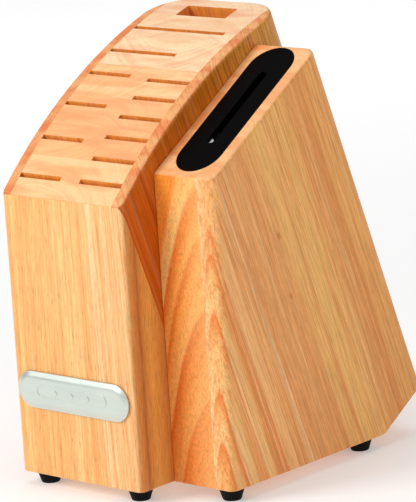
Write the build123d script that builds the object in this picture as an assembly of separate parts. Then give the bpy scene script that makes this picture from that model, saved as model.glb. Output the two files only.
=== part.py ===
from build123d import *
import os
from math import acos, cos, degrees, radians, sin, sqrt, tan

# A counter-top knife block with a sharpener block glued to its right side.
#
# Block frame, in millimetres: X runs right from the block's left side, Y runs back from the
# front face and Z runs up from the underside of the wood.
# Knife frame: X as above, T runs back square to the knives from the slab's front plane, and
# K runs up along the knives. Its origin is on the front face's top edge.
# Cartridge frame: X from the middle of the blade slot, S runs up the sharpener block's sloping
# top from its front edge, and height is square to that top, so depths below it are negative.

# Main block
BLOCK_WIDTH = 90.0
FRONT_HEIGHT = 156.2
KNIFE_LEAN = 20.4
SLAB_THICKNESS = 162.8
SLOT_FACE_RADIUS = 296.0
SLOT_FACE_FRONT_SLOPE = 47.6
SIDE_BOARD = 7.5
WEDGE_BOARD = 24.0
REAR_CORNER_RADIUS = 23.4
REAR_BOARD = 21.2

# Undercut at the foot of both rear faces
HEEL_HEIGHT = 22.0
HEEL_LENGTH = 37.2

# Slots, with their distances measured along T
KERF = 2.75
FIRST_ROW = 10.2
RIGHT_PITCH = 13.95
RIGHT_ROWS = 6
LEFT_PITCH = 23.9
LEFT_ROWS = 4
SHORT_SLOT = 30.5
MEDIUM_SLOT = 48.8
MEDIUM_ROW = 101.9
LONG_SLOT = 66.7
LONG_ROW = 124.5
SHEARS_WIDTH = 36.8
SHEARS_THICKNESS = 11.6
SHEARS_LEFT = 25.3

# Sharpener block
SIDE_WIDTH = 42.4
SIDE_SETBACK = 26.0
SIDE_FRONT_HEIGHT = 170.0
SIDE_TOP_SLOPE = 32.0
SIDE_TOP_DEPTH = 89.0
INNER_BOARD = 30.1
SIDE_FRONT_RADIUS = 5.0
SIDE_REAR_RADIUS = 7.0
CHANNEL_DEPTH = 12.0
CHANNEL_FLOOR = 10.0

# Softened edges
FRONT_CORNER_RADIUS = 4.0
TOP_EDGE_RADIUS = 2.2
BASE_EDGE_RADIUS = 1.0
JOINT_EDGE_RADIUS = 0.8

# Cartridge
SLOT_CENTRE_X = 110.8
BEZEL_START = 4.1
BEZEL_LENGTH = 98.1
BEZEL_WIDTH = 28.8
BEZEL_THICKNESS = 2.0
BLADE_SLOT_WIDTH = 5.2
BLADE_SLOT_START = 26.1
BLADE_SLOT_LENGTH = 56.7
HOUSING_START = 10.0
HOUSING_LENGTH = 84.0
HOUSING_WIDTH = 21.0
HOUSING_DEPTH = 36.0
HOUSING_WALL = 1.5
POCKET_CLEARANCE = 0.3

# Sharpening stones and their arms
PIVOT_X = 5.6
PIVOT_S = 36.5
ARM_REACH_X = 8.0
ARM_REACH_S = 19.5
ARM_WIDTH = 6.0
ARM_THICKNESS = 1.5
ARM_LIP = 0.5
STONE_WIDTH = 3.6
STONE_THICKNESS = 2.5
LEFT_STONE_DEPTH = 2.3
RIGHT_STONE_DEPTH = 6.9
HUB_RADIUS = 3.0
PIN_RADIUS = 1.0
PIN_CLEARANCE = 0.05
SHELF_DEPTH = 13.4
SHELF_THICKNESS = 2.0
ARM_STOP_GAP = 0.15
SPRING_THICKNESS = 0.3
SPRING_HEIGHT = 1.2
SPRING_TOUCH = 0.78

# Nameplate
PLATE_LENGTH = 82.0
PLATE_HEIGHT = 20.6
PLATE_CENTRE_Z = 48.6
PLATE_THICKNESS = 2.2
PLATE_BEVEL = 1.3
PLATE_SOFTNESS = 6.0
PAD_THICKNESS = 0.4
PAD_INSET = 1.5
RING_LENGTH = 52.0
RING_HEIGHT = 7.4
RING_WIDTH = 0.7
LOZENGE_SIDE = 2.4
LOZENGE_PITCH = 12.0
ORNAMENT_RELIEF = 0.25

# Feet and their screws
FOOT_HEIGHT = 7.2
FOOT_TOP_RADIUS = 7.35
FOOT_BOTTOM_RADIUS = 5.0
FOOT_INSET = 11.0
HEEL_INSET = 9.4
SIDE_FOOT_INSET = 10.0
SCREW_RADIUS = 1.4
SCREW_LENGTH = 14.0
SCREW_HEAD_RADIUS = 3.0
SCREW_HEAD_HEIGHT = 2.2
SCREW_RECESS_RADIUS = 3.3
SCREW_RECESS_DEPTH = 4.0

# Long enough to pass right through the block from inside it
THROUGH = 400.0

LEAN = radians(KNIFE_LEAN)
TOP_SLOPE = radians(SIDE_TOP_SLOPE)
TOTAL_WIDTH = BLOCK_WIDTH + SIDE_WIDTH
INNER_X = HOUSING_WIDTH / 2 - HOUSING_WALL
KNIFE_UP = Vector(0, -sin(LEAN), cos(LEAN))
KNIFE_FRAME = Plane(origin=(0, 0, FRONT_HEIGHT), x_dir=(1, 0, 0), z_dir=KNIFE_UP)
TOP_NORMAL = Vector(0, -sin(TOP_SLOPE), cos(TOP_SLOPE))
CARTRIDGE_FRAME = Plane(
    origin=(SLOT_CENTRE_X, SIDE_SETBACK, SIDE_FRONT_HEIGHT), x_dir=(1, 0, 0), z_dir=TOP_NORMAL
)


# ---------------------------------------------------------------- shared shapes


def box_in(frame, x_span, y_span, z_span):
    """A box between two limits on each axis of a frame."""
    size = [high - low for low, high in (x_span, y_span, z_span)]
    middle = [(high + low) / 2 for low, high in (x_span, y_span, z_span)]
    return frame * Pos(*middle) * Box(*size)


def slab_box(x_span, t_span):
    """The stretch of the slab between two T planes, endless along the knives."""
    return box_in(KNIFE_FRAME, x_span, t_span, (-THROUGH, THROUGH))


def rear_plane_y(z, t):
    """Where the plane at distance t behind the slab's front plane crosses height z."""
    return (t + (FRONT_HEIGHT - z) * sin(LEAN)) / cos(LEAN)


def kept(shape):
    """The one solid of a shape that a boolean operation wraps in a compound."""
    return max(shape.solids(), key=lambda solid: solid.volume)


def stadium(frame, start, end, width, depth_span):
    """A bar with round ends between two points of a frame, from one depth to another."""
    run = Vector(*end) - Vector(*start)
    middle = (Vector(*end) + Vector(*start)) * 0.5
    turn = degrees(acos(run.X / run.length)) * (1 if run.Y >= 0 else -1)
    low, high = depth_span
    outline = SlotCenterToCenter(run.length, width)
    bar = extrude(outline, high - low)
    return frame * Pos(middle.X, middle.Y, low) * Rot(0, 0, turn) * bar


# ---------------------------------------------------------------- main block


def slot_face_centre():
    slope = radians(SLOT_FACE_FRONT_SLOPE)
    y = SLOT_FACE_RADIUS * sin(slope)
    z = FRONT_HEIGHT - SLOT_FACE_RADIUS * cos(slope)
    return y, z


def slot_face_height(y):
    centre_y, centre_z = slot_face_centre()
    return centre_z + sqrt(SLOT_FACE_RADIUS**2 - (y - centre_y) ** 2)


def slab_top_rear():
    """The point where the slot face meets the slab's rear plane, found by halving."""
    low, high = 0.0, SLAB_THICKNESS
    for _ in range(60):
        middle = (low + high) / 2
        if middle < rear_plane_y(slot_face_height(middle), SLAB_THICKNESS):
            low = middle
        else:
            high = middle
    return low, slot_face_height(low)


def on_slot_face(edge):
    """True if an edge borders the slot face."""
    centre_y, centre_z = slot_face_centre()
    middle = edge @ 0.5
    gap = sqrt((middle.Y - centre_y) ** 2 + (middle.Z - centre_z) ** 2) - SLOT_FACE_RADIUS
    return abs(gap) < 0.02


def main_envelope():
    """The main block's outside: a leaning slab with a plumb front and a domed slot face."""
    top_y, top_z = slab_top_rear()
    heel_y = rear_plane_y(HEEL_HEIGHT, SLAB_THICKNESS)
    half_way = top_y / 2
    outline = Polyline(
        (0, FRONT_HEIGHT), (0, 0), (heel_y - HEEL_LENGTH, 0), (heel_y, HEEL_HEIGHT), (top_y, top_z)
    )
    dome = ThreePointArc((top_y, top_z), (half_way, slot_face_height(half_way)), (0, FRONT_HEIGHT))
    body = extrude(Plane.YZ * make_face(outline + dome), BLOCK_WIDTH)

    rear = Pos(BLOCK_WIDTH / 2, 0, 0) * Rectangle(BLOCK_WIDTH, 2 * SLAB_THICKNESS)
    rear_corners = rear.vertices().group_by(Axis.Y)[-1]
    prism = extrude(KNIFE_FRAME * fillet(rear_corners, REAR_CORNER_RADIUS), THROUGH, both=True)
    body = kept(body & prism)

    upright = body.edges().filter_by(Axis.Z)
    body = kept(fillet(upright, FRONT_CORNER_RADIUS))
    body = kept(fillet([edge for edge in body.edges() if on_slot_face(edge)], TOP_EDGE_RADIUS))
    base = body.edges().group_by(Axis.Z)[0]
    return kept(fillet(base, BASE_EDGE_RADIUS))


def slot_spans():
    """The X and T spans of every knife slot."""
    left = SIDE_BOARD
    right = BLOCK_WIDTH - SIDE_BOARD
    spans = []
    for row in range(RIGHT_ROWS):
        t = FIRST_ROW + row * RIGHT_PITCH
        spans.append(((right - SHORT_SLOT, right), (t, t + KERF)))
    for row in range(LEFT_ROWS):
        t = FIRST_ROW + row * LEFT_PITCH
        spans.append(((left, left + SHORT_SLOT), (t, t + KERF)))
    spans.append(((left, left + MEDIUM_SLOT), (MEDIUM_ROW, MEDIUM_ROW + KERF)))
    spans.append(((left, left + LONG_SLOT), (LONG_ROW, LONG_ROW + KERF)))
    rear_board_front = SLAB_THICKNESS - REAR_BOARD
    shears_t = (rear_board_front, rear_board_front + SHEARS_THICKNESS)
    spans.append(((SHEARS_LEFT, SHEARS_LEFT + SHEARS_WIDTH), shears_t))
    return spans


def core_planes():
    """The T planes between the core boards: two lie on slots, the rest share the room evenly."""
    first = FIRST_ROW + RIGHT_PITCH
    third = FIRST_ROW + 4 * RIGHT_PITCH
    last = SLAB_THICKNESS - REAR_BOARD
    step = (last - third) / 3
    return [0, first, (first + third) / 2, third, third + step, third + 2 * step, last, SLAB_THICKNESS]


def main_block_boards(envelope):
    boards = {}
    wedge = slab_box((0, BLOCK_WIDTH), (-THROUGH, 0))
    front_layer = box_in(Plane.XY, (0, BLOCK_WIDTH), (-1, WEDGE_BOARD), (-1, THROUGH))
    boards["front_wedge_board"] = kept((envelope & wedge) & front_layer)
    boards["rear_wedge_board"] = kept((envelope & wedge) - front_layer)

    whole_slab = (0, SLAB_THICKNESS)
    core_x = (SIDE_BOARD, BLOCK_WIDTH - SIDE_BOARD)
    boards["left_side_board"] = kept(envelope & slab_box((0, core_x[0]), whole_slab))
    boards["right_side_board"] = kept(envelope & slab_box((core_x[1], BLOCK_WIDTH), whole_slab))

    planes = core_planes()
    for number, t_span in enumerate(zip(planes, planes[1:]), start=1):
        board = envelope & slab_box(core_x, t_span)
        for x_slot, t_slot in slot_spans():
            if t_slot[0] > t_span[0] - 0.01 and t_slot[1] < t_span[1]:
                board = board - slab_box(x_slot, t_slot)
        boards[f"core_board_{number}"] = kept(board)
    return boards


# ---------------------------------------------------------------- sharpener block


def side_top_rear():
    """The point where the sloping top meets the sharpener block's rear face."""
    return SIDE_SETBACK + SIDE_TOP_DEPTH, SIDE_FRONT_HEIGHT + SIDE_TOP_DEPTH * tan(TOP_SLOPE)


def side_heel_y():
    """Where the rear face meets the undercut at its foot."""
    top_y, top_z = side_top_rear()
    return top_y + (top_z - HEEL_HEIGHT) * tan(LEAN)


def side_envelope():
    """The sharpener block's outside: plumb front, sloping top, and a rear face along the knives."""
    top_y, top_z = side_top_rear()
    heel_y = side_heel_y()
    outline = Polyline(
        (SIDE_SETBACK, 0),
        (heel_y - HEEL_LENGTH, 0),
        (heel_y, HEEL_HEIGHT),
        (top_y, top_z),
        (SIDE_SETBACK, SIDE_FRONT_HEIGHT),
        close=True,
    )
    body = Pos(BLOCK_WIDTH, 0, 0) * extrude(Plane.YZ * make_face(outline), SIDE_WIDTH)
    outer_edges = [edge for edge in body.edges() if (edge @ 0.5).X > TOTAL_WIDTH - 0.1]
    upright = [edge for edge in outer_edges if abs((edge % 0.5).Z) > 0.9]
    upright.sort(key=lambda edge: (edge @ 0.5).Y)
    body = kept(fillet(upright[0], SIDE_FRONT_RADIUS))
    rear = [edge for edge in body.edges() if (edge @ 0.5).X > TOTAL_WIDTH - 0.1 and edge.length > 150]
    rear = [edge for edge in rear if abs((edge % 0.5).Y) > 0.3 and abs((edge % 0.5).Z) > 0.9]
    body = kept(fillet(rear, SIDE_REAR_RADIUS))

    def borders_top(edge):
        height = CARTRIDGE_FRAME.to_local_coords(edge @ 0.5).Z
        return abs(height) < 0.02 and (edge @ 0.5).X > BLOCK_WIDTH + 1

    body = kept(fillet([edge for edge in body.edges() if borders_top(edge)], TOP_EDGE_RADIUS))
    base = [edge for edge in body.edges().group_by(Axis.Z)[0] if (edge @ 0.5).X > BLOCK_WIDTH + 1]
    body = kept(fillet(base, BASE_EDGE_RADIUS))
    joint = [edge for edge in body.edges() if (edge @ 0.5).X < BLOCK_WIDTH + 0.1]
    return kept(fillet([edge for edge in joint if (edge @ 0.5).Z > HEEL_HEIGHT], JOINT_EDGE_RADIUS))


def obround(start, length, width, depth_span, grow=0.0):
    """A bar with round ends that lies up the slope, in the cartridge frame."""
    inset = width / 2
    return stadium(
        CARTRIDGE_FRAME, (0, start + inset), (0, start + length - inset), width + 2 * grow, depth_span
    )


def housing_block(grow, depth):
    """The cartridge's outside below the bezel, or the pocket that takes it."""
    outline = RectangleRounded(HOUSING_WIDTH + 2 * grow, HOUSING_LENGTH + 2 * grow, 3.0)
    centre = HOUSING_START + HOUSING_LENGTH / 2
    return CARTRIDGE_FRAME * Pos(0, centre, -depth) * extrude(outline, depth - BEZEL_THICKNESS)


def blade_path(width, start, end, top_depth, bottom_depth):
    """The room that a hanging blade sweeps, leaning with the knives below the blade slot."""
    drift = tan(TOP_SLOPE - LEAN)
    outline = Polyline(
        (start - drift * top_depth, -top_depth),
        (end - drift * top_depth, -top_depth),
        (end - drift * bottom_depth, -bottom_depth),
        (start - drift * bottom_depth, -bottom_depth),
        close=True,
    )
    side = Plane(
        origin=CARTRIDGE_FRAME.from_local_coords(Vector(width / 2, 0, 0)),
        x_dir=CARTRIDGE_FRAME.y_dir,
        z_dir=(-1, 0, 0),
    )
    mirrored = make_face(outline).mirror(Plane.XZ)
    return extrude(side * mirrored, width)


def side_block_boards(envelope):
    seam = BLOCK_WIDTH + INNER_BOARD
    recess = obround(BEZEL_START, BEZEL_LENGTH, BEZEL_WIDTH, (-BEZEL_THICKNESS, 5.0), grow=0.15)
    pocket = housing_block(POCKET_CLEARANCE, HOUSING_DEPTH + POCKET_CLEARANCE)
    hollow = envelope - recess - pocket

    inner = hollow & box_in(Plane.XY, (BLOCK_WIDTH, seam), (-1, THROUGH), (-1, THROUGH))
    slot_end = BLADE_SLOT_START + BLADE_SLOT_LENGTH
    sweep = blade_path(THROUGH, BLADE_SLOT_START - 4, slot_end + 4, HOUSING_DEPTH - 1, THROUGH)
    heel_y = side_heel_y()
    above_floor = Polyline(
        (0, CHANNEL_FLOOR),
        (heel_y - HEEL_LENGTH, CHANNEL_FLOOR),
        (heel_y, CHANNEL_FLOOR + HEEL_HEIGHT),
        (heel_y, THROUGH),
        (0, THROUGH),
        close=True,
    )
    layer = Pos(seam - CHANNEL_DEPTH, 0, 0) * extrude(Plane.YZ * make_face(above_floor), CHANNEL_DEPTH + 1)
    channel = sweep & layer
    outer = hollow & box_in(Plane.XY, (seam, TOTAL_WIDTH), (-1, THROUGH), (-1, THROUGH))
    return {"sharpener_inner_board": kept(inner - channel), "sharpener_outer_board": kept(outer)}


# ---------------------------------------------------------------- cartridge

# Stations up the slope, and the housing screws' depths below the sloping top
CLIP_STATIONS = (24.0, 74.0)
SCREW_STATIONS = ((14.5, 17.0), (14.5, 29.5), (89.5, 8.5), (89.5, 29.5))
WEB_STATIONS = (48.0, 63.0, 78.0)
RIB_START = 42.0
RIB_END = 84.0
KEEPER_STATIONS = (17.5, 20.5)

# Small features of the cartridge
SINK = 0.2
CHUTE_WIDTH = 7.6
CHUTE_DEPTH = 6.0
CHUTE_END_WALL = 1.5
CLIP_WIDTH = 5.0
CLIP_THICKNESS = 1.0
CLIP_DEPTH = 4.6
BARB_REACH = 0.6
BARB_TOP = 3.4
CLIP_ROOM = 0.2
HOUSING_FLOOR = 2.0
BOSS_RADIUS = 2.6
RIB_NEAR = 2.6
RIB_FAR = 3.4
RIB_TOP = 6.3
WEB_NEAR = 3.0
WEB_THICKNESS = 1.2
WEB_TOP = 10.0
SHELF_NEAR = 3.2
SHELF_HALF_LENGTH = 4.0
MOUTH_WIDTH = 5.2
STOP_LENGTH = 4.0
KEEPER_REACH = 1.2
KEEPER_GAP = 0.42
KEEPER_THICKNESS = 0.8
SPRING_GAP = 0.1
CASE_SCREW_RADIUS = 1.0
CASE_SCREW_CLEARANCE = 0.2
CASE_SCREW_BITE = 5.0
CASE_HEAD_RADIUS = 2.0
CASE_HEAD_HEIGHT = 1.4
CASE_SEAT_DEPTH = 1.8
STONE_FROM = 0.34
STONE_TO = 0.94

UPWARD = (Align.CENTER, Align.CENTER, Align.MIN)
DOWNWARD = (Align.CENTER, Align.CENTER, Align.MAX)


def cartridge_box(x_span, s_span, depth_span):
    """A box in the cartridge frame, with its depths given below the sloping top."""
    shallow, deep = depth_span
    return box_in(CARTRIDGE_FRAME, x_span, s_span, (-deep, -shallow))


def sharpener_bezel():
    """The flush plate with the blade slot, a chute under the slot and four clips."""
    slot = obround(BLADE_SLOT_START, BLADE_SLOT_LENGTH, BLADE_SLOT_WIDTH, (-THROUGH, THROUGH))
    plate = obround(BEZEL_START, BEZEL_LENGTH, BEZEL_WIDTH, (-BEZEL_THICKNESS, 0))
    chute_x = (-CHUTE_WIDTH / 2, CHUTE_WIDTH / 2)
    chute_end = BLADE_SLOT_START + BLADE_SLOT_LENGTH + CHUTE_END_WALL
    bezel = plate + cartridge_box(chute_x, (RIB_START, chute_end), (BEZEL_THICKNESS, CHUTE_DEPTH))
    inside = INNER_X - CLIP_ROOM / 2
    for side in (-1, 1):
        for s in CLIP_STATIONS:
            clip_s = (s - CLIP_WIDTH / 2, s + CLIP_WIDTH / 2)
            leg_x = sorted((side * inside, side * (inside - CLIP_THICKNESS)))
            barb_x = sorted((side * inside, side * (inside + BARB_REACH)))
            bezel = bezel + cartridge_box(leg_x, clip_s, (BEZEL_THICKNESS, CLIP_DEPTH))
            bezel = bezel + cartridge_box(barb_x, clip_s, (BARB_TOP, CLIP_DEPTH))
    return kept(bezel - slot)


def housing_half(side):
    """One shell of the cartridge: side is -1 for the left one and 1 for the right one."""
    outside = sorted((0, side * HOUSING_WIDTH))
    half = housing_block(0, HOUSING_DEPTH) & cartridge_box(outside, (0, THROUGH), (0, THROUGH))
    room_x = sorted((-side, side * INNER_X))
    room_s = (HOUSING_START + HOUSING_WALL, HOUSING_START + HOUSING_LENGTH - HOUSING_WALL)
    half = half - cartridge_box(room_x, room_s, (0, HOUSING_DEPTH - HOUSING_FLOOR))

    wall_x = INNER_X + SINK
    outward = UPWARD if side > 0 else DOWNWARD
    for s, depth in SCREW_STATIONS:
        half = half + screw_axis(s, depth) * Cylinder(BOSS_RADIUS, wall_x, align=outward)

    low = HOUSING_DEPTH - HOUSING_FLOOR / 2
    rib_x = sorted((side * RIB_NEAR, side * RIB_FAR))
    half = half + cartridge_box(rib_x, (RIB_START, RIB_END), (RIB_TOP, low))
    web_x = sorted((side * WEB_NEAR, side * wall_x))
    for s in WEB_STATIONS:
        half = half + cartridge_box(web_x, (s, s + WEB_THICKNESS), (WEB_TOP, low))

    shelf_x = sorted((side * SHELF_NEAR, side * wall_x))
    shelf_s = (PIVOT_S - SHELF_HALF_LENGTH, PIVOT_S + SHELF_HALF_LENGTH)
    half = half + cartridge_box(shelf_x, shelf_s, (SHELF_DEPTH, SHELF_DEPTH + SHELF_THICKNESS))
    half = half - pivot_cylinder(side, PIN_RADIUS, SHELF_DEPTH - 1, SHELF_DEPTH + SHELF_THICKNESS + 1)
    half = half + arm_stop(side) + spring_keeper(side)

    window_x = sorted((side * (INNER_X - 0.5), side * HOUSING_WIDTH))
    window_half = (CLIP_WIDTH + 2 * CLIP_ROOM) / 2
    for s in CLIP_STATIONS:
        window_depths = (BARB_TOP - CLIP_ROOM, CLIP_DEPTH + CLIP_ROOM)
        half = half - cartridge_box(window_x, (s - window_half, s + window_half), window_depths)

    for s, depth in SCREW_STATIONS:
        half = half - screw_hole(side, s, depth)

    slot_end = BLADE_SLOT_START + BLADE_SLOT_LENGTH
    floor_cut = (HOUSING_DEPTH - 3 * HOUSING_FLOOR, HOUSING_DEPTH + 3 * HOUSING_FLOOR)
    half = half - blade_path(MOUTH_WIDTH, BLADE_SLOT_START - 1, slot_end + 1, *floor_cut)
    return kept(half)


def arm_stop(side):
    """The post in one shell that the other side's arm rests against."""
    depth = LEFT_STONE_DEPTH if side > 0 else RIGHT_STONE_DEPTH
    top = depth + STONE_THICKNESS - ARM_LIP
    reach = ARM_REACH_X - PIVOT_X + ARM_WIDTH / 2 + ARM_STOP_GAP
    tip_s = PIVOT_S - ARM_REACH_S
    x_span = sorted((side * reach, side * (INNER_X + SINK)))
    s_span = (tip_s - 1.0, tip_s - 1.0 + STOP_LENGTH)
    return cartridge_box(x_span, s_span, (top + SINK, top + ARM_THICKNESS + ARM_LIP))


def spring_keeper(side):
    """The hook that holds a leaf spring's straight leg to the shell's wall."""
    shallow = stone_depth(side) + STONE_THICKNESS + SPRING_GAP
    ledge_top = shallow + SPRING_HEIGHT + SPRING_GAP
    ledge_bottom = ledge_top + KEEPER_THICKNESS
    lip_x = sorted((side * (INNER_X - KEEPER_REACH), side * (INNER_X - KEEPER_GAP)))
    ledge_x = sorted((side * (INNER_X - KEEPER_REACH), side * (INNER_X + SINK)))
    lip = cartridge_box(lip_x, KEEPER_STATIONS, (shallow, ledge_bottom))
    return lip + cartridge_box(ledge_x, KEEPER_STATIONS, (ledge_top, ledge_bottom))


def screw_axis(s, depth):
    """An axis across the housing, pointing right, at one screw's place."""
    return CARTRIDGE_FRAME * Pos(0, s, -depth) * Rot(0, 90, 0)


def screw_hole(side, s, depth):
    """A pilot hole in the left shell, and a clearance hole with a sunk seat in the right one."""
    half_width = HOUSING_WIDTH / 2
    if side < 0:
        deep_end = CASE_SCREW_BITE + 3
        pilot = Cylinder(CASE_SCREW_RADIUS, deep_end + 1, align=UPWARD)
        return screw_axis(s, depth) * Pos(0, 0, -deep_end) * pilot
    shank_radius = CASE_SCREW_RADIUS + CASE_SCREW_CLEARANCE
    seat_radius = CASE_HEAD_RADIUS + CASE_SCREW_CLEARANCE
    shank = screw_axis(s, depth) * Pos(0, 0, -1) * Cylinder(shank_radius, half_width + 2, align=UPWARD)
    seat_floor = Pos(0, 0, half_width - CASE_SEAT_DEPTH)
    seat = screw_axis(s, depth) * seat_floor * Cylinder(seat_radius, 2 * CASE_SEAT_DEPTH, align=UPWARD)
    return shank + seat


def housing_screws():
    screws = []
    half_width = HOUSING_WIDTH / 2
    for s, depth in SCREW_STATIONS:
        head = Cylinder(CASE_HEAD_RADIUS, CASE_HEAD_HEIGHT, align=UPWARD)
        shank = Cylinder(CASE_SCREW_RADIUS, half_width + CASE_SCREW_BITE, align=DOWNWARD)
        cross = Pos(0, 0, CASE_HEAD_HEIGHT) * (Box(2.4, 0.5, 1.2) + Box(0.5, 2.4, 1.2))
        seated = screw_axis(s, depth) * Pos(0, 0, half_width - CASE_SEAT_DEPTH)
        screws.append(kept(seated * (head + shank - cross)))
    return Compound(screws)


def pivot_cylinder(side, radius, shallow, deep):
    """A cylinder on one arm's pivot axis between two depths."""
    foot = CARTRIDGE_FRAME * Pos(side * PIVOT_X, PIVOT_S, -deep)
    return foot * Cylinder(radius, deep - shallow, align=UPWARD)


def arm_line(side, along):
    """A point on one arm's middle line, from 0 at its pivot to 1 at its tip."""
    return (side * (PIVOT_X - along * ARM_REACH_X), PIVOT_S - along * ARM_REACH_S)


def stone_depth(side):
    return LEFT_STONE_DEPTH if side < 0 else RIGHT_STONE_DEPTH


def stone_bar(side, height_span):
    """The outline of one stone on its arm, between two heights."""
    ends = (arm_line(side, STONE_FROM), arm_line(side, STONE_TO))
    return stadium(CARTRIDGE_FRAME, *ends, STONE_WIDTH, height_span)


def stone(side):
    """A ceramic bar, set at the sharpening angle to the slot."""
    top = stone_depth(side)
    return kept(stone_bar(side, (-top - STONE_THICKNESS, -top)))


def arm(side):
    """A carrier with a shallow seat for its stone and a hub that turns on the pivot pin."""
    seat = stone_depth(side) + STONE_THICKNESS
    top = seat - ARM_LIP
    bottom = seat + ARM_THICKNESS
    body = stadium(CARTRIDGE_FRAME, arm_line(side, 0), arm_line(side, 1), ARM_WIDTH, (-bottom, -top))
    body = body + pivot_cylinder(side, HUB_RADIUS, top, SHELF_DEPTH - 0.1)
    body = body - pivot_cylinder(side, PIN_RADIUS + PIN_CLEARANCE, top - 1, SHELF_DEPTH + 1)
    return kept(body - stone_bar(side, (-seat, 1 - top)))


def pivot_pin(side):
    """A plain steel pin, pressed into the shelf and reaching up through the arm's hub."""
    return kept(pivot_cylinder(side, PIN_RADIUS, BEZEL_THICKNESS + 0.2, SHELF_DEPTH + SHELF_THICKNESS))


def leaf_spring(side):
    """A bent steel strip: one leg lies on the shell's wall, the other presses on the arm."""
    shallow = stone_depth(side) + STONE_THICKNESS + SPRING_GAP
    wall_leg_x = INNER_X - 0.2
    arm_edge = ARM_WIDTH / 2 + 0.08
    length = sqrt(ARM_REACH_X**2 + ARM_REACH_S**2)
    touch_x, touch_s = arm_line(side, SPRING_TOUCH)
    touch_x = touch_x + side * (arm_edge + SPRING_THICKNESS) * ARM_REACH_S / length
    touch_s = touch_s - (arm_edge + SPRING_THICKNESS) * ARM_REACH_X / length
    path = Polyline(
        (side * wall_leg_x, 28.0),
        (side * wall_leg_x, 14.2),
        (side * (wall_leg_x - 1.2), 12.9),
        (touch_x + side * 1.0, touch_s - 2.2),
        (touch_x, touch_s),
    )
    strip = trace(path, SPRING_THICKNESS)
    return kept(CARTRIDGE_FRAME * Pos(0, 0, -(shallow + SPRING_HEIGHT)) * extrude(strip, SPRING_HEIGHT))


def cartridge_parts():
    parts = {"sharpener_bezel": sharpener_bezel(), "housing_screws": housing_screws()}
    for name, side in (("left", -1), ("right", 1)):
        parts[f"housing_{name}"] = housing_half(side)
        parts[f"{name}_arm"] = arm(side)
        parts[f"{name}_stone"] = stone(side)
        parts[f"{name}_pivot_pin"] = pivot_pin(side)
        parts[f"{name}_leaf_spring"] = leaf_spring(side)
    return parts


# ---------------------------------------------------------------- nameplate


def nameplate_parts():
    """A cushioned plate with a plain raised ornament, on its adhesive pad."""
    face = Plane(origin=(BLOCK_WIDTH / 2, 0, PLATE_CENTRE_Z), x_dir=(1, 0, 0), z_dir=(0, -1, 0))
    pad_outline = SlotOverall(PLATE_LENGTH - 2 * PAD_INSET, PLATE_HEIGHT - 2 * PAD_INSET)
    pad = extrude(pad_outline, PAD_THICKNESS)
    plate = extrude(SlotOverall(PLATE_LENGTH, PLATE_HEIGHT), PLATE_THICKNESS)
    plate = chamfer(plate.edges().group_by(Axis.Z)[-1], PLATE_BEVEL, PLATE_BEVEL * 2.6)
    plate = fillet(plate.edges().group_by(Axis.Z)[-1], PLATE_SOFTNESS)
    ring_inside = SlotOverall(RING_LENGTH - 2 * RING_WIDTH, RING_HEIGHT - 2 * RING_WIDTH)
    ornament = extrude(SlotOverall(RING_LENGTH, RING_HEIGHT) - ring_inside, ORNAMENT_RELIEF)
    lozenge = extrude(Rot(0, 0, 45) * Rectangle(LOZENGE_SIDE, LOZENGE_SIDE), ORNAMENT_RELIEF)
    for x in (-LOZENGE_PITCH, 0, LOZENGE_PITCH):
        ornament = ornament + Pos(x, 0, 0) * lozenge
    plate = plate + Pos(0, 0, PLATE_THICKNESS) * ornament
    return {
        "nameplate_pad": kept(face * pad),
        "nameplate": kept(face * Pos(0, 0, PAD_THICKNESS) * plate),
    }


# ---------------------------------------------------------------- feet


def foot_places():
    """Each foot's place under the wood."""
    heel = rear_plane_y(HEEL_HEIGHT, SLAB_THICKNESS) - HEEL_LENGTH - HEEL_INSET
    side_heel = side_heel_y() - HEEL_LENGTH - HEEL_INSET
    right = BLOCK_WIDTH - FOOT_INSET
    outer = TOTAL_WIDTH - SIDE_FOOT_INSET
    return {
        "foot_front_left": (FOOT_INSET, FOOT_INSET),
        "foot_front_middle": (right, FOOT_INSET),
        "foot_front_right": (outer, SIDE_SETBACK + SIDE_FOOT_INSET),
        "foot_rear_left": (FOOT_INSET, heel),
        "foot_rear_middle": (right, heel),
        "foot_rear_right": (outer, side_heel),
    }


def foot_solid():
    """A tapered bumper with a sunk seat for its screw, hanging below the origin."""
    foot = Pos(0, 0, -FOOT_HEIGHT / 2) * Cone(FOOT_BOTTOM_RADIUS, FOOT_TOP_RADIUS, FOOT_HEIGHT)
    foot = fillet(foot.edges().group_by(Axis.Z)[0], 0.6)
    foot = foot - Cylinder(SCREW_RADIUS + 0.1, FOOT_HEIGHT + 1, align=DOWNWARD)
    recess = Cylinder(SCREW_RECESS_RADIUS, SCREW_RECESS_DEPTH, align=UPWARD)
    return kept(foot - Pos(0, 0, -FOOT_HEIGHT) * recess)


def foot_screw():
    """A pan-head wood screw, head down, at the depth of the foot's seat."""
    seat = -FOOT_HEIGHT + SCREW_RECESS_DEPTH
    head = Pos(0, 0, seat) * Cylinder(SCREW_HEAD_RADIUS, SCREW_HEAD_HEIGHT, align=DOWNWARD)
    head = fillet(head.edges().group_by(Axis.Z)[0], 0.9)
    shank = Pos(0, 0, seat) * Cylinder(SCREW_RADIUS, SCREW_LENGTH - 2, align=UPWARD)
    point = Pos(0, 0, seat + SCREW_LENGTH - 2) * Cone(SCREW_RADIUS, 0.2, 2, align=UPWARD)
    drive = Pos(0, 0, seat - SCREW_HEAD_HEIGHT) * (Box(3.6, 0.7, 1.8) + Box(0.7, 3.6, 1.8))
    return kept(head + shank + point - drive)


def foot_parts():
    parts = {}
    screws = []
    foot = foot_solid()
    screw = foot_screw()
    for name, (x, y) in foot_places().items():
        parts[name] = Pos(x, y, 0) * foot
        screws.append(Pos(x, y, 0) * screw)
    parts["foot_screws"] = Compound(screws)
    return parts


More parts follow.
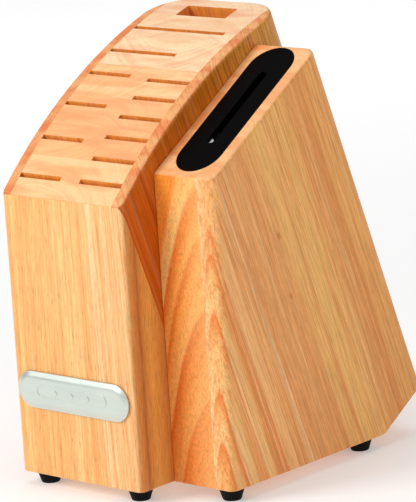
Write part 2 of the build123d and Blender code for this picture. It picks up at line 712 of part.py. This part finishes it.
def pilot_holes():
    """The holes that the foot screws fill in the wood."""
    depth = SCREW_LENGTH - FOOT_HEIGHT + SCREW_RECESS_DEPTH
    straight = Pos(0, 0, -1) * Cylinder(SCREW_RADIUS, depth - 1, align=UPWARD)
    tip = Pos(0, 0, depth - 2) * Cone(SCREW_RADIUS, 0.2, 2, align=UPWARD)
    hole = straight + tip
    return [Pos(x, y, 0) * hole for x, y in foot_places().values()]


# ---------------------------------------------------------------- assembly and export

nodes = {}
nodes.update(main_block_boards(main_envelope()))
nodes.update(side_block_boards(side_envelope()))
for name in list(nodes):
    for hole in pilot_holes():
        nodes[name] = kept(nodes[name] - hole)
nodes.update(cartridge_parts())
nodes.update(nameplate_parts())
nodes.update(foot_parts())

bounds = Compound(list(nodes.values())).bounding_box()
origin = Pos(-bounds.center().X, -bounds.center().Y, -bounds.min.Z)
os.makedirs("parts", exist_ok=True)
for name, node in nodes.items():
    export_step(origin * node, f"parts/{name}.step")

for name, side in (("left", -1), ("right", 1)):
    pivot = CARTRIDGE_FRAME.from_local_coords(Vector(side * PIVOT_X, PIVOT_S, -SHELF_DEPTH))
    print(name, "pivot", pivot + origin.position, "axis", TOP_NORMAL)
print("size", bounds.size, "shift", origin.position)
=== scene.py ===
from math import cos, radians, sin

import bpy
import numpy as np
from mathutils import Matrix, Vector


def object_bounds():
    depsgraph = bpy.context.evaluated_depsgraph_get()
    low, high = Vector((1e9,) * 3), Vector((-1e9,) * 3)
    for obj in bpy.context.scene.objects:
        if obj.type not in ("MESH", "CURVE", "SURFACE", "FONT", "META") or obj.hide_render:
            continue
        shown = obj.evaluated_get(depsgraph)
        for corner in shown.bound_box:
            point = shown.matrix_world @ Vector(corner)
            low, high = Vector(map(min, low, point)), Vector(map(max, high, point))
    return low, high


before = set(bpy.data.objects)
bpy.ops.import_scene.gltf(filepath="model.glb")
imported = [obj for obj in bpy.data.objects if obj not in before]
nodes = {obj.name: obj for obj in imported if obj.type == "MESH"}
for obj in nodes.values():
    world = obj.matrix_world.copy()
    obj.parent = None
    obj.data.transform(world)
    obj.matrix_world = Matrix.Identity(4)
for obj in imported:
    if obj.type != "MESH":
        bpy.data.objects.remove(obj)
packed_box = [list(corner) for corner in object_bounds()]

# ------------------------------------------------------------------------------ core boards
# Seven boards of a pale plantation hardwood, glued face to face in a leaning stack between the
# two side boards. The knife slots are sawn into their faces before glue-up, and the sanded dome
# on top shows their end grain under a thin satin lacquer.

GRAIN_LEAN = radians(20.4)
KNIFE_UP = (0.0, -sin(GRAIN_LEAN), cos(GRAIN_LEAN))
KNIFE_BACK = (0.0, cos(GRAIN_LEAN), sin(GRAIN_LEAN))
ACROSS = (1.0, 0.0, 0.0)
MM = 1000.0

LONG_GRAIN = ((0.95, 0.38, 0.05), (0.82, 0.26, 0.025))
BLOND = (0.97, 0.74, 0.42)
RUSSET = (0.62, 0.235, 0.075)
PORE = (0.46, 0.13, 0.025)

# Lumps of each noise in the wood, in millimetres: across the board, through it, along the grain
WOBBLE_LUMPS = (36, 36, 190)
RING_LUMPS = (9, 9, 90)
BROAD_LUMPS = (15, 15, 260)
DARK_STREAKS = (1.7, 1.7, 110)
LIGHT_STREAKS = (3.0, 3.0, 190)
FIBRES = (0.7, 0.7, 16)
VESSELS = (0.42, 0.42, 5.5)
END_PATCHES = (42, 7, 200)
SEED_STEP = (71.3, 37.9, 113.7)

# Values between which a noise goes from hidden to full
RING_SHOWS = (0.25, 0.75)
DARK_SHOWS = (0.45, 0.64)
LIGHT_SHOWS = (0.52, 0.66)
VESSEL_SHOWS = (0.58, 0.74)
PATCH_SHOWS = (0.36, 0.64)

# How squarely a face is turned to the grain, or to one side, before it takes other colours; the
# side faces' colours are painted shade
END_FACE = (0.5, 0.88)
SHADED_CHEEK_FACE = (0.45, 0.9)

# Growth rings: how often and how far their width changes, where in the year the dark wood
# fades out, and how much of a ring can fade. The layers' flare sets in between two X values.
YEAR_RATE, YEAR_SHIFT = 0.8, 1.6
LATE_FADES = (0.86, 1.0)
RING_FADE = 0.7
FLARE_SPAN = (-30, 40)

# How far each layer of colour covers the ones below it
FIGURE_AND_SHADE_COVER = 0.88
SAPWOOD_AND_SHADE_COVER = 0.6
DARK_TINT = 0.45
BLOND_SHARE = 0.25
LIGHT_COVER = 0.6
SHADED_CHEEK_COVER = 0.85
END_STREAK_COVER = 0.12
KNOT_COVER = 0.7
KNOT_CORE, KNOT_STRETCH = 0.3, 0.6

# Contrast and floor of the fibres' brightness, and what a cut across the grain does to the
# fibres and the pores
FIBRE_CONTRAST, FIBRE_FLOOR = 0.95, 0.545
END_FLATTENS, END_LIFTS, END_CLOSES = 0.7, 0.34, 0.7


class Signal:
    """A socket inside a material: arithmetic on it adds the Math nodes that do the sum."""

    def __init__(self, finish, socket):
        self.finish, self.socket = finish, socket

    def maths(self, operation, *values):
        return self.finish.node("Math", {"operation": operation}, dict(enumerate(values)))

    def __add__(self, other):
        return self.maths("ADD", self, other)

    __radd__ = __add__

    def __sub__(self, other):
        return self.maths("SUBTRACT", self, other)

    def __rsub__(self, other):
        return self.maths("SUBTRACT", other, self)

    def __mul__(self, other):
        return self.maths("MULTIPLY", self, other)

    __rmul__ = __mul__

    def __truediv__(self, other):
        return self.maths("DIVIDE", self, other)

    def __pow__(self, other):
        return self.maths("POWER", self, other)

    def part(self):
        """What is left over a whole number."""
        return self.maths("FRACT", self)

    def size(self):
        """The value without its sign."""
        return self.maths("ABSOLUTE", self)

    def rise(self, low, high):
        """0 below low and 1 above high, with a soft climb between them."""
        ends = {"Value": self, "From Min": low, "From Max": high}
        return self.finish.node("MapRange", {"interpolation_type": "SMOOTHSTEP"}, ends)


class Finish:
    """A material while its nodes are being laid."""

    def __init__(self, name):
        self.material = bpy.data.materials.new(name)
        self.material.use_nodes = True
        self.tree = self.material.node_tree
        self.tree.nodes.clear()
        self.place = self.node("TexCoord", output="Object")

    def node(self, kind, settings=None, inputs=None, output=0):
        """One node: its settings are made first, then its sockets get their values or links."""
        made = self.tree.nodes.new("ShaderNode" + kind)
        for name, value in (settings or {}).items():
            if name == "stops":
                ramp = made.color_ramp.elements
                for _ in range(len(value) - 2):
                    ramp.new(0.5)
                for stop, (position, colour) in zip(ramp, value):
                    stop.position, stop.color = position, (*colour, 1)
            else:
                setattr(made, name, value)
        for name, value in (inputs or {}).items():
            if isinstance(value, Signal):
                self.tree.links.new(value.socket, made.inputs[name])
            elif made.inputs[name].type == "RGBA":
                made.inputs[name].default_value = (*value, 1)
            else:
                made.inputs[name].default_value = value
        return Signal(self, made.outputs[output]) if made.outputs else None

    def dot(self, vector, direction):
        """How far a vector reaches along a direction."""
        settings = {"operation": "DOT_PRODUCT"}
        return self.node("VectorMath", settings, {0: vector, 1: direction}, "Value")

    def along(self, direction):
        """Millimetres from the origin along a direction."""
        return self.dot(self.place, direction) * MM

    def cloud(self, place, size, detail=2.0, rough=0.5):
        """Soft noise from 0 to 1 whose lumps have that size, in the units of place."""
        shrunk = {0: place, 1: tuple(1 / side for side in size)}
        stretched = self.node("VectorMath", {"operation": "MULTIPLY"}, shrunk)
        inputs = {"Vector": stretched, "Scale": 1.0, "Detail": detail, "Roughness": rough}
        return self.node("TexNoise", {}, inputs)

    def blend(self, factor, colour, other):
        """The first colour where factor is 0 and the other where it is 1."""
        return self.node("Mix", {"data_type": "RGBA"}, {0: factor, 6: colour, 7: other}, 2)

    def ramp(self, value, stops):
        """A colour that runs through stops of (value, colour)."""
        start, end = stops[0][0], stops[-1][0]
        places = tuple(((place - start) / (end - start), colour) for place, colour in stops)
        return self.node("ValToRGB", {"stops": places}, {0: (value - start) / (end - start)})

    def scaled(self, colour, gain):
        """A colour made lighter or darker by a factor."""
        return self.node("VectorMath", {"operation": "SCALE"}, {0: colour, "Scale": gain})

    def bump(self, height, strength, distance):
        """A normal that is tilted by a height of 0 to 1, which stands for distance in metres."""
        inputs = {"Height": height, "Strength": strength, "Distance": distance}
        return self.node("Bump", {}, inputs)

    def surface(self, **sockets):
        """The shader itself. A socket's name is written with _ for its spaces."""
        inputs = {name.replace("_", " "): value for name, value in sockets.items()}
        shader = self.node("BsdfPrincipled", {}, inputs)
        self.node("OutputMaterial", {}, {"Surface": shader})

    def cover(self, *names):
        """Puts the material on every slot of the named pieces."""
        for name in names:
            for slot in nodes[name].material_slots:
                slot.material = self.material


def timber(
    name, up=KNIFE_UP, back=KNIFE_BACK, long_grain=LONG_GRAIN, end_grain=None, line=RUSSET,
    seed=0.0, spacing=6.0, tilt=0.0, crown=0.0, heart=0.0, waver=8.0, bands=0.6, soft=2.6,
    flare=0.0, tone=0.5, streak=0.7, pores=0.5, figure_and_shade=None, sapwood_and_shade=None, shaded_cheek=None, knots=(),
):
    """One board's wood, as a solid that is cut through by every face of the board.

    The growth layers follow back*cos(tilt) + across*sin(tilt) + crown*(across - heart)^2, with a
    slow wobble of waver, and lie spacing apart, in millimetres. Flare leans the layers further
    over with height. Bands, tone, streak and pores say how strongly rings, broad patches, streaks
    and pores show, and a higher soft makes thinner rings.

    The figure colours lie along the layers and hold grain figure, with painted shade on boards
    that stand in shade. The cheek colours go through the board on its sides and are painted shade
    over rift-sawn lines. The sapwood change is the start, end and colour of a change across the
    board: paler wood, with painted shade where the board stays dark. Each knot is a depth, a
    height and a radius. Faces cut across the grain take the end-grain colours.
    """
    finish = Finish(name)
    length = finish.along(up)
    depth = finish.along(back)
    across = finish.along(ACROSS)
    if flare:
        across = across + (across - heart).rise(*FLARE_SPAN) * length * flare
    moved = (place + step * seed for place, step in zip((across, depth, length), SEED_STEP))
    grain = finish.node("CombineXYZ", {}, dict(enumerate(moved)))
    normal = finish.node("NewGeometry", output="Normal")
    cut = finish.dot(normal, up).size().rise(*END_FACE)

    wobble = finish.cloud(grain, WOBBLE_LUMPS) - 0.5
    layer = depth * cos(radians(tilt)) + across * sin(radians(tilt)) + wobble * waver
    if crown:
        offset = across - heart
        layer = layer + offset * offset * crown
    count = layer / spacing + seed
    drift = {"W": count * YEAR_RATE, "Detail": 1.0}
    uneven = finish.node("TexNoise", {"noise_dimensions": "1D"}, drift)
    year = (count + uneven * YEAR_SHIFT).part()
    late = (year ** soft) * (1 - year.rise(*LATE_FADES))
    faint = finish.cloud(grain, RING_LUMPS, 1.0).rise(*RING_SHOWS)
    ring = late * (faint * RING_FADE + (1 - RING_FADE)) * bands

    threshold = 0.5 - tone * 0.3
    broad = finish.cloud(grain, BROAD_LUMPS).rise(threshold, threshold + 0.5)
    dark = finish.cloud(grain, DARK_STREAKS, 3.0, 0.65).rise(*DARK_SHOWS)
    light = finish.cloud(grain, LIGHT_STREAKS, 2.0, 0.6).rise(*LIGHT_SHOWS)
    fine = finish.cloud(grain, FIBRES, 3.0, 0.65)
    vessel = finish.cloud(grain, VESSELS, 1.0).rise(*VESSEL_SHOWS)

    pale, warm = long_grain
    paler = tuple((1 - BLOND_SHARE) * c + BLOND_SHARE * b for c, b in zip(pale, BLOND))
    colour = finish.blend(broad, pale, warm)
    if figure_and_shade:
        colour = finish.blend(FIGURE_AND_SHADE_COVER, colour, finish.ramp(layer, figure_and_shade))
    if sapwood_and_shade:
        start, end, shade = sapwood_and_shade
        colour = finish.blend(across.rise(start, end) * SAPWOOD_AND_SHADE_COVER, colour, shade)
    colour = finish.blend(dark * streak, colour, finish.blend(DARK_TINT, warm, line))
    colour = finish.blend(light * streak * LIGHT_COVER, colour, paler)
    if shaded_cheek:
        shaded_side = finish.dot(normal, ACROSS).size().rise(*SHADED_CHEEK_FACE)
        colour = finish.blend(shaded_side * SHADED_CHEEK_COVER, colour, finish.ramp(depth, shaded_cheek))
    if end_grain:
        patch = finish.cloud(grain, END_PATCHES, 1.0).rise(*PATCH_SHOWS)
        face = finish.blend(patch, *end_grain)
        face = finish.blend(dark * END_STREAK_COVER, face, line)
        colour = finish.blend(cut, colour, face)
    colour = finish.blend(ring, colour, line)
    for knot_depth, knot_height, radius in knots:
        rise = (length - knot_height) * KNOT_STRETCH
        reach = ((depth - knot_depth) ** 2 + rise ** 2) ** 0.5
        knot = (1 - reach.rise(radius * KNOT_CORE, radius)) * KNOT_COVER
        colour = finish.blend(knot, colour, line)
    contrast = FIBRE_CONTRAST - cut * END_FLATTENS
    colour = finish.scaled(colour, fine * contrast + (FIBRE_FLOOR + cut * END_LIFTS))
    colour = finish.blend(vessel * (pores - cut * (pores * END_CLOSES)), colour, PORE)
    relief = fine * 0.6 - vessel
    finish.surface(
        Base_Color=colour,
        Roughness=0.50 - fine * 0.14 + vessel * 0.2,
        Specular_IOR_Level=0.22,
        Coat_Weight=0.10,
        Coat_Roughness=0.25,
        Normal=finish.bump(relief, 0.3, 0.0001),
    )
    return finish


PEACH = ((0.96, 0.63, 0.31), (0.92, 0.47, 0.20))
AMBER = ((0.94, 0.51, 0.22), (0.90, 0.40, 0.17))
CREAM = ((0.98, 0.74, 0.45), (0.96, 0.62, 0.36))
ROSE = ((0.98, 0.72, 0.46), (0.93, 0.50, 0.31))
CORE_LINE = (0.84, 0.33, 0.15)
for number, end, tilt, crown, heart, spacing in (
    (1, PEACH, 24, 0.010, -20, 11.0),
    (2, AMBER, -14, -0.012, -44, 12.0),
    (3, AMBER, 16, 0.014, -20, 10.0),
    (4, PEACH, -22, 0.012, -5, 13.0),
    (5, CREAM, 12, -0.016, -30, 12.0),
    (6, CREAM, -9, 0.012, -22, 14.0),
    (7, ROSE, 20, 0.008, -30, 9.0),
):
    timber(
        f"core board {number} wood", end_grain=end, line=CORE_LINE, seed=1.37 * number,
        tilt=tilt, crown=crown, heart=heart, spacing=spacing, bands=0.62, soft=1.8, streak=0.8,
    ).cover(f"core_board_{number}")

# ------------------------------------------------------------------------------ side boards
# One thin board on each side of the stack closes the slots' ends. They are planed from redder
# stock, and their long grain leans with the knives. Their long-grain colours also hold painted
# shade: darker and redder towards the front and the bottom, for the shaded recess beside the
# sharpener block. Depths and layers are in millimetres.

# Redder wood along the layers, darkened towards the front and bottom as painted shade of the recess
HEARTWOOD_AND_RECESS_SHADE = (
    (-110, (0.55, 0.080, 0.001)),
    (-60, (0.56, 0.085, 0.001)),
    (-20, (0.62, 0.118, 0.002)),
    (20, (0.66, 0.168, 0.004)),
    (60, (0.70, 0.240, 0.012)),
    (90, (0.78, 0.390, 0.055)),
    (125, (0.79, 0.390, 0.065)),
)
for side, seed in (("left", 11.0), ("right", 12.4)):
    timber(
        # These dark long-grain colours are painted shade of the recess over the redder wood
        f"{side} side wood", long_grain=((0.70, 0.15, 0.006), (0.52, 0.08, 0.001)),
        end_grain=((0.93, 0.45, 0.18), (0.85, 0.27, 0.09)), line=(0.30, 0.05, 0.001), seed=seed,
        tilt=8, crown=0.02, spacing=5.2, bands=0.75, tone=0.7, streak=0.6, figure_and_shade=HEARTWOOD_AND_RECESS_SHADE,
    ).cover(f"{side}_side_board")

# ------------------------------------------------------------------------------ wedge boards
# In front of the leaning stack is a wedge whose grain stands upright. It fills the space down to
# the base and gives the block its plumb front face. Its side faces take darker, redder colours:
# rift-sawn lines under painted shade of the recess beside the sharpener block.

UPRIGHT = (0.0, 0.0, 1.0)
BACKWARD = (0.0, 1.0, 0.0)
QUARTER_SAWN = (
    (-112, (0.93, 0.47, 0.165)),
    (-103, (0.95, 0.55, 0.20)),
    (-98, (0.92, 0.44, 0.15)),
    (-88, (0.94, 0.52, 0.19)),
    (-80, (0.92, 0.47, 0.165)),
    (-73, (0.95, 0.57, 0.22)),
    (-66, (0.96, 0.60, 0.24)),
    (-61, (0.94, 0.53, 0.20)),
    (-58.5, (0.91, 0.40, 0.14)),
    (-56, (0.95, 0.55, 0.21)),
    (-53.2, (0.93, 0.47, 0.18)),
    (-52.4, (0.92, 0.36, 0.12)),
    (-51.6, (0.97, 0.66, 0.32)),
    (-49, (0.97, 0.73, 0.40)),
    (-46.5, (0.93, 0.50, 0.20)),
    (-45, (0.97, 0.68, 0.34)),
    (-42, (0.93, 0.49, 0.19)),
    (-40, (0.97, 0.64, 0.31)),
    (-36, (0.94, 0.51, 0.22)),
    (-30, (0.96, 0.60, 0.28)),
)
# Side-face colours: rift-sawn lines under painted shade of the recess
RIFT_SAWN_AND_RECESS_SHADE = (
    (-111, (0.66, 0.24, 0.040)),
    (-105, (0.58, 0.17, 0.018)),
    (-103, (0.36, 0.08, 0.004)),
    (-101, (0.60, 0.20, 0.022)),
    (-96, (0.76, 0.33, 0.050)),
    (-90, (0.72, 0.28, 0.036)),
    (-84, (0.60, 0.16, 0.012)),
)
for part, seed in (("front", 21.0), ("rear", 22.7)):
    timber(
        f"{part} wedge wood", up=UPRIGHT, back=BACKWARD,
        long_grain=((0.95, 0.52, 0.185), (0.92, 0.43, 0.13)), line=(0.86, 0.28, 0.07), seed=seed,
        tilt=62, waver=5.0, spacing=4.6, bands=0.4, flare=0.07, streak=0.75,
        figure_and_shade=QUARTER_SAWN, shaded_cheek=RIFT_SAWN_AND_RECESS_SHADE,
    ).cover(f"{part}_wedge_board")

# ------------------------------------------------------------------------------ sharpener block
# A lower block, glued to the right side, is made of a thick inner board and a thin outer board.
# The outer board is flat-sawn, so its growth lines make arches where the plumb front cuts them.
# The inner board's deep red-orange is partly its wood and partly painted shade of the inside
# corner: it stays darkest near the main block and turns paler towards the outer board.

PALE, DEEP = (0.98, 0.60, 0.235), (0.78, 0.17, 0.022)
OUTER_FIGURE = (
    (-82, PALE), (-71, (0.92, 0.36, 0.09)), (-67.6, DEEP), (-66.4, PALE),
    (-62, (0.96, 0.50, 0.17)), (-60, (0.88, 0.30, 0.07)), (-58, DEEP), (-56.6, PALE),
    (-49, (0.96, 0.52, 0.18)), (-45.5, (0.89, 0.31, 0.07)), (-42.8, DEEP), (-41.6, PALE),
    (-36, (0.96, 0.50, 0.17)), (-33.2, (0.88, 0.30, 0.07)), (-31.5, DEEP),
    (-30.3, (0.96, 0.50, 0.18)), (-27.6, DEEP), (-26.4, (0.97, 0.50, 0.18)),
    (-20, (0.93, 0.44, 0.15)), (-14, (0.95, 0.49, 0.17)), (-10.8, (0.85, 0.38, 0.12)),
    (-9.6, (1.00, 0.82, 0.50)), (-8.4, (0.83, 0.36, 0.115)), (18, (0.84, 0.37, 0.11)),
    (28, (0.90, 0.49, 0.14)), (50, (0.90, 0.48, 0.135)), (57, (0.82, 0.36, 0.10)),
    (70, (0.74, 0.27, 0.06)), (73, (0.85, 0.40, 0.11)), (110, (0.83, 0.39, 0.11)),
)
INNER_FIGURE = (
    (-90, (0.90, 0.34, 0.07)), (-61, (0.84, 0.20, 0.02)), (-59, (0.76, 0.13, 0.008)),
    (-57.4, (0.94, 0.40, 0.10)), (-48, (0.88, 0.26, 0.04)), (-44, (0.80, 0.16, 0.012)),
    (-42.0, (0.72, 0.11, 0.006)), (-40.4, (0.96, 0.44, 0.12)), (-33, (0.97, 0.36, 0.065)),
    (-29.0, (0.82, 0.16, 0.01)), (-26.8, (0.98, 0.41, 0.085)), (-20.5, (0.90, 0.22, 0.02)),
    (-18.8, (0.80, 0.13, 0.006)), (-17.0, (1.00, 0.62, 0.21)), (-12, (1.00, 0.55, 0.16)),
    (-8, (0.96, 0.28, 0.026)), (2, (0.98, 0.33, 0.034)), (12, (0.92, 0.32, 0.06)),
    (60, (0.90, 0.34, 0.075)),
)
HEART_X = 60.8
# Kept dark near the main block as painted shade of the inside corner, paler towards the outer board
timber(
    "inner block wood", long_grain=((0.93, 0.34, 0.07), (0.84, 0.22, 0.03)),
    end_grain=((0.95, 0.53, 0.24), (0.88, 0.35, 0.12)), line=(0.66, 0.14, 0.012), seed=31.0,
    crown=0.019, heart=HEART_X, waver=5.0, spacing=7.0, bands=0.3, tone=0.6, streak=0.25, pores=0.3,
    figure_and_shade=INNER_FIGURE, sapwood_and_shade=(30, 60, (1.00, 0.58, 0.20)),
).cover("sharpener_inner_board")
timber(
    "outer block wood", long_grain=((0.95, 0.50, 0.17), (0.86, 0.36, 0.10)),
    end_grain=((0.96, 0.54, 0.25), (0.91, 0.42, 0.17)), line=(0.66, 0.18, 0.03), seed=32.3,
    crown=0.19, heart=HEART_X, waver=4.0, spacing=4.2, bands=0.35, tone=0.55, streak=0.75,
    pores=0.25, figure_and_shade=OUTER_FIGURE, sapwood_and_shade=(60, 54, (0.99, 0.68, 0.33)),
    knots=((14.8, 141.0, 1.8), (9.4, 105.9, 1.6)),
).cover("sharpener_outer_board")

# ------------------------------------------------------------------------------ sharpener insert
# The flush bezel, the two housing shells below it and the arms are moulded in black plastic with
# a fine spark-eroded texture. The shells close round the arms with four small screws.


def moulded(name, colour, rough):
    """Moulded plastic: fine pebble texture, with a slow change in gloss."""
    finish = Finish(name)
    pebble = finish.cloud(finish.place, (0.0003,) * 3)
    drift = finish.cloud(finish.place, (0.018,) * 3)
    lighter = tuple(1.3 * c for c in colour)
    finish.surface(
        Base_Color=finish.scaled(finish.blend(drift, colour, lighter), 0.9 + pebble * 0.2),
        Roughness=rough - 0.08 + drift * 0.16,
        Specular_IOR_Level=0.022,
        Normal=finish.bump(pebble, 0.25, 0.00005),
    )
    return finish


moulded("bezel plastic", (0.0018, 0.0018, 0.002), 0.5).cover("sharpener_bezel")
moulded("housing plastic", (0.012, 0.012, 0.013), 0.55).cover("housing_left", "housing_right")
moulded("arm plastic", (0.015, 0.015, 0.017), 0.5).cover("left_arm", "right_arm")

# ------------------------------------------------------------------------------ stones
# Two fired ceramic bars cross under the slot. They are white, very finely grained and matt.

CLEAN_CERAMIC, USED_CERAMIC = (0.93, 0.95, 0.96), (0.86, 0.89, 0.92)
stone = Finish("white ceramic")
grit = stone.cloud(stone.place, (0.00018,) * 3)
stain = stone.cloud(stone.place, (0.004,) * 3)
stone.surface(
    Base_Color=stone.scaled(
        stone.blend(stain, CLEAN_CERAMIC, USED_CERAMIC), 0.94 + grit * 0.12
    ),
    Roughness=0.5 + grit * 0.2,
    Normal=stone.bump(grit, 0.3, 0.00003),
)
stone.cover("left_stone", "right_stone")

# ------------------------------------------------------------------------------ small steel parts
# The arms turn on ground pins, bent leaf springs press them on their stops, and plated screws
# hold the shells together and the feet on.


def steel(name, colour, rough, lumps):
    """Bare metal whose working marks have that size in metres along X, Y and Z."""
    finish = Finish(name)
    marks = finish.cloud(finish.place, lumps, 3.0)
    finish.surface(
        Base_Color=finish.blend(marks, colour, tuple(0.8 * c for c in colour)),
        Metallic=1.0,
        Roughness=rough + marks * 0.12,
        Normal=finish.bump(marks, 0.2, 0.00002),
    )
    return finish


for name, colour, rough, lumps, pieces in (
    ("pin steel", (0.62, 0.62, 0.64), 0.18, (0.0001, 0.002, 0.002),
     ("left_pivot_pin", "right_pivot_pin")),
    ("spring steel", (0.46, 0.46, 0.48), 0.3, (0.0001, 0.004, 0.004),
     ("left_leaf_spring", "right_leaf_spring")),
    ("screw plating", (0.58, 0.58, 0.57), 0.25, (0.0004, 0.0004, 0.0004),
     ("housing_screws", "foot_screws")),
):
    steel(name, colour, rough, lumps).cover(*pieces)

# ------------------------------------------------------------------------------ nameplate
# A cushioned plate, pressed from brushed metal with a plain raised ornament, is held to the front
# by a foam pad.

BRIGHT_METAL, DULL_METAL = (0.70, 0.76, 0.69), (0.60, 0.66, 0.61)
plate = Finish("brushed plate")
brush = plate.cloud(plate.place, (0.03, 0.0002, 0.0002), 3.0, 0.6)
cast = plate.cloud(plate.place, (0.02, 0.02, 0.006))
plate.surface(
    Base_Color=plate.scaled(plate.blend(cast, BRIGHT_METAL, DULL_METAL), 0.9 + brush * 0.2),
    Metallic=0.9,
    Roughness=0.30 + brush * 0.14,
    Normal=plate.bump(brush, 0.25, 0.00003),
)
plate.cover("nameplate")

pad = Finish("foam pad")
cells = pad.cloud(pad.place, (0.0004,) * 3)
pad.surface(
    Base_Color=pad.scaled((0.32, 0.32, 0.31), 0.8 + cells * 0.4),
    Roughness=0.9,
    Normal=pad.bump(cells, 0.5, 0.0001),
)
pad.cover("nameplate_pad")

# ------------------------------------------------------------------------------ feet
# Six tapered bumpers of black rubber, each with a sunk screw, keep the block off the counter.

rubber = Finish("foot rubber")
skin = rubber.cloud(rubber.place, (0.0006,) * 3, 3.0)
dust = rubber.cloud(rubber.place, (0.006, 0.006, 0.003)).rise(0.4, 0.8)
rubber.surface(
    Base_Color=rubber.blend(dust * 0.3, (0.0035, 0.0035, 0.004), (0.010, 0.010, 0.010)),
    Roughness=0.55 + skin * 0.2,
    Specular_IOR_Level=0.12,
    Normal=rubber.bump(skin, 0.3, 0.00006),
)
rubber.cover(
    "foot_front_left", "foot_front_middle", "foot_front_right",
    "foot_rear_left", "foot_rear_middle", "foot_rear_right",
)

# ------------------------------------------------------------------------------ studio
# The block stands on a plain pale floor under soft lamps. A long lens looks down a little on the
# front right corner, with a slight tilt of the camera.

scene = bpy.context.scene
low, high = (Vector(corner) for corner in packed_box)
middle = (low + high) / 2

FLOOR_REACH = 6.0
corners = FLOOR_REACH * np.array([(-1, -1, 0), (1, -1, 0), (1, 1, 0), (-1, 1, 0)])
floor_mesh = bpy.data.meshes.new("floor")
floor_mesh.from_pydata(corners.tolist(), [], [(0, 1, 2, 3)])
floor = bpy.data.objects.new("floor", floor_mesh)
scene.collection.objects.link(floor)
# The floor paper glows as painted light, at half strength near the block and full strength far out,
# so it is painted darker round the block
paper = Finish("floor paper")
fleck = paper.cloud(paper.place, (0.02,) * 3)
away = paper.node("VectorMath", {"operation": "LENGTH"}, {0: paper.place}, "Value")
paper.surface(
    Base_Color=paper.scaled((0.80, 0.80, 0.80), 0.99 + fleck * 0.02),
    Roughness=0.85,
    Emission_Color=paper.blend(away.rise(0.2, 1.6), (0.5, 0.5, 0.5), (1.0, 1.0, 1.0)),
    Emission_Strength=0.56,
)
floor_mesh.materials.append(paper.material)

AZIMUTH = 0.742
ELEVATION = 0.219
ROLL = -0.065
LENS = 246.0
SENSOR = 36.0
DISTANCE = 1.90
AIM_SHIFT = (-0.0083, -0.0106, -0.0083)
aim = middle + Vector(AIM_SHIFT)
forward = Vector((-sin(AZIMUTH) * cos(ELEVATION), cos(AZIMUTH) * cos(ELEVATION), -sin(ELEVATION)))
level = Vector((cos(AZIMUTH), sin(AZIMUTH), 0))
upright = level.cross(forward)
right = cos(ROLL) * level + sin(ROLL) * upright
top = cos(ROLL) * upright - sin(ROLL) * level
camera_data = bpy.data.cameras.new("camera")
camera_data.lens = LENS
camera_data.sensor_width = SENSOR
camera = bpy.data.objects.new("camera", camera_data)
axes = Matrix((right, top, -forward)).transposed().to_4x4()
camera.matrix_world = Matrix.Translation(aim - forward * DISTANCE) @ axes
scene.collection.objects.link(camera)
scene.camera = camera


def lamp(name, place, size, power):
    """A square soft box that faces the block, with its side in metres and its power in watts."""
    data = bpy.data.lights.new(name, "AREA")
    data.size, data.energy = size, power
    box = bpy.data.objects.new(name, data)
    towards = (middle - Vector(place)).to_track_quat("-Z", "Y")
    box.matrix_world = Matrix.Translation(place) @ towards.to_matrix().to_4x4()
    scene.collection.objects.link(box)


lamp("key", (-0.9, -1.7, 1.3), 1.0, 26)
lamp("overhead", (-0.1, 0.1, 1.9), 1.4, 10.5)
lamp("fill", (1.9, 0.2, 0.9), 1.2, 2.6)
lamp("front fill", (1.5, -1.3, 1.0), 0.6, 3.0)

AMBIENT = 0.34
sky = bpy.data.worlds.new("studio air")
sky.use_nodes = True
air = sky.node_tree.nodes["Background"].inputs
air["Color"].default_value = (1, 1, 1, 1)
air["Strength"].default_value = AMBIENT
scene.world = sky
scene.view_settings.view_transform = "Standard"
